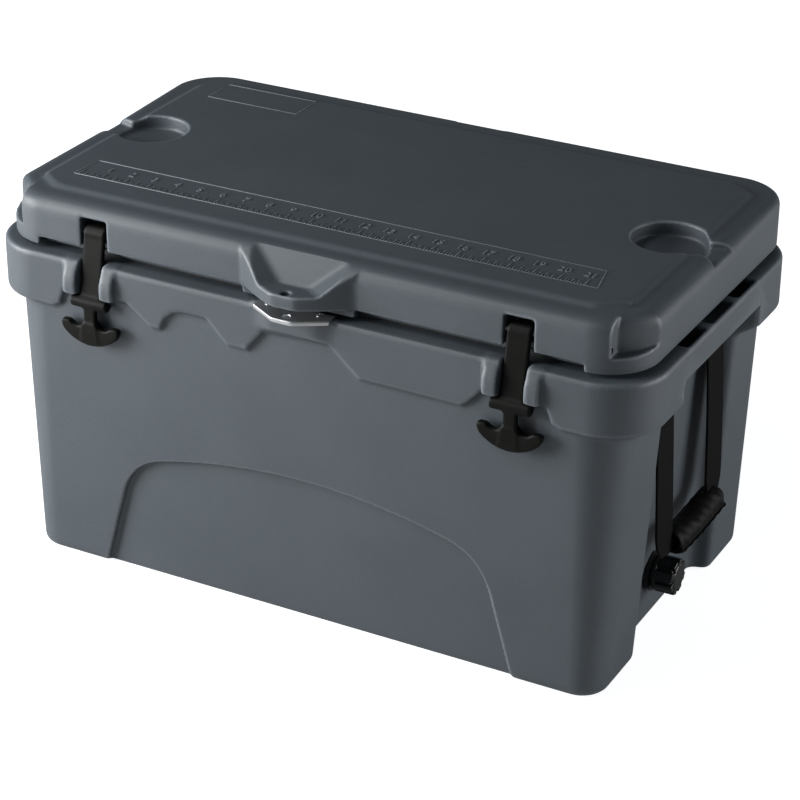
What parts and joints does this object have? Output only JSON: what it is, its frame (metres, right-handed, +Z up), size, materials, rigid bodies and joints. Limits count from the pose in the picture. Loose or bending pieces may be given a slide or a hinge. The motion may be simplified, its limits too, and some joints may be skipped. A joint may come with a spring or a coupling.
{
  "type": "hard-sided cooler",
  "caption": "Rotomoulded camping cooler: insulated tub and hinged lid with cup recesses, rubber T-latches, webbing handles and a screw drain plug.",
  "frame": {"origin": "centre of the cooler's box, on the ground under its rubber feet", "axes": "+X along the length, the front with the latches towards -Y, +Z up"},
  "size_m": [0.692, 0.424, 0.388],
  "materials": {
    "moulded_polyethylene": "satin, fine mould texture",
    "insulating_foam": "matte",
    "seal_rubber": "matte",
    "latch_rubber": "satin",
    "black_nylon": "satin",
    "stainless_steel": "brushed",
    "webbing": "woven",
    "grip_fabric": "woven, padded"
  },
  "bodies": {
    "tub": {"tub_shell": "moulded_polyethylene", "tub_foam": "insulating_foam", "hinge_rod": "stainless_steel", "hinge_rod_caps": "black_nylon", "lock_plate": "stainless_steel", "lock_plate_screws": "stainless_steel", "strap_bars_left": "stainless_steel", "strap_bars_right": "stainless_steel", "strap_loops_left": "webbing", "strap_loops_right": "webbing", "drain_bushing": "black_nylon", "drain_gasket": "seal_rubber", "drain_nut": "black_nylon", "rubber_feet": "seal_rubber", "foot_screws": "stainless_steel"},
    "lid": {"lid_shell": "moulded_polyethylene", "lid_foam": "insulating_foam", "lid_gasket": "seal_rubber", "latch_pin_left": "stainless_steel", "latch_pin_right": "stainless_steel"},
    "latch_left": {"latch_left": "latch_rubber"},
    "latch_right": {"latch_right": "latch_rubber"},
    "handle_left": {"handle_straps_left": "webbing", "handle_core_left": "black_nylon", "handle_grip_left": "grip_fabric"},
    "handle_right": {"handle_straps_right": "webbing", "handle_core_right": "black_nylon", "handle_grip_right": "grip_fabric"},
    "drain_seal": {"drain_cap_seal": "seal_rubber"},
    "drain_cap": {"drain_cap": "black_nylon"}
  },
  "joints": [
    {"name": "lid_hinge", "type": "hinge", "parent": "tub", "child": "lid", "pos_m": [0, 0.203, 0.333], "axis": [-1, 0, 0], "range_deg": [0, 100]},
    {"name": "latch_left_swing", "type": "hinge", "parent": "lid", "child": "latch_left", "pos_m": [-0.222, -0.1725, 0.357], "axis": [-1, 0, 0], "range_deg": [0, 95], "deforming": ["latch_left"]},
    {"name": "latch_right_swing", "type": "hinge", "parent": "lid", "child": "latch_right", "pos_m": [0.222, -0.1725, 0.357], "axis": [-1, 0, 0], "range_deg": [0, 95], "deforming": ["latch_right"]},
    {"name": "handle_left_swing", "type": "hinge", "parent": "tub", "child": "handle_left", "pos_m": [-0.313, 0, 0.292], "axis": [0, 1, 0], "range_deg": [0, 90]},
    {"name": "handle_right_swing", "type": "hinge", "parent": "tub", "child": "handle_right", "pos_m": [0.313, 0, 0.292], "axis": [0, -1, 0], "range_deg": [0, 90]},
    {"name": "drain_cap_travel", "type": "slide", "parent": "tub", "child": "drain_seal", "axis": [1, 0, 0], "range_m": [0, 0.009]},
    {"name": "drain_cap_turn", "type": "hinge", "parent": "drain_seal", "child": "drain_cap", "pos_m": [0.3, -0.02, 0.056], "axis": [1, 0, 0], "range_deg": [0, 1080]}
  ],
  "couplings": [
    {"joint": "drain_cap_travel", "follows": "drain_cap_turn", "m_per_rad": 0.000477}
  ]
}
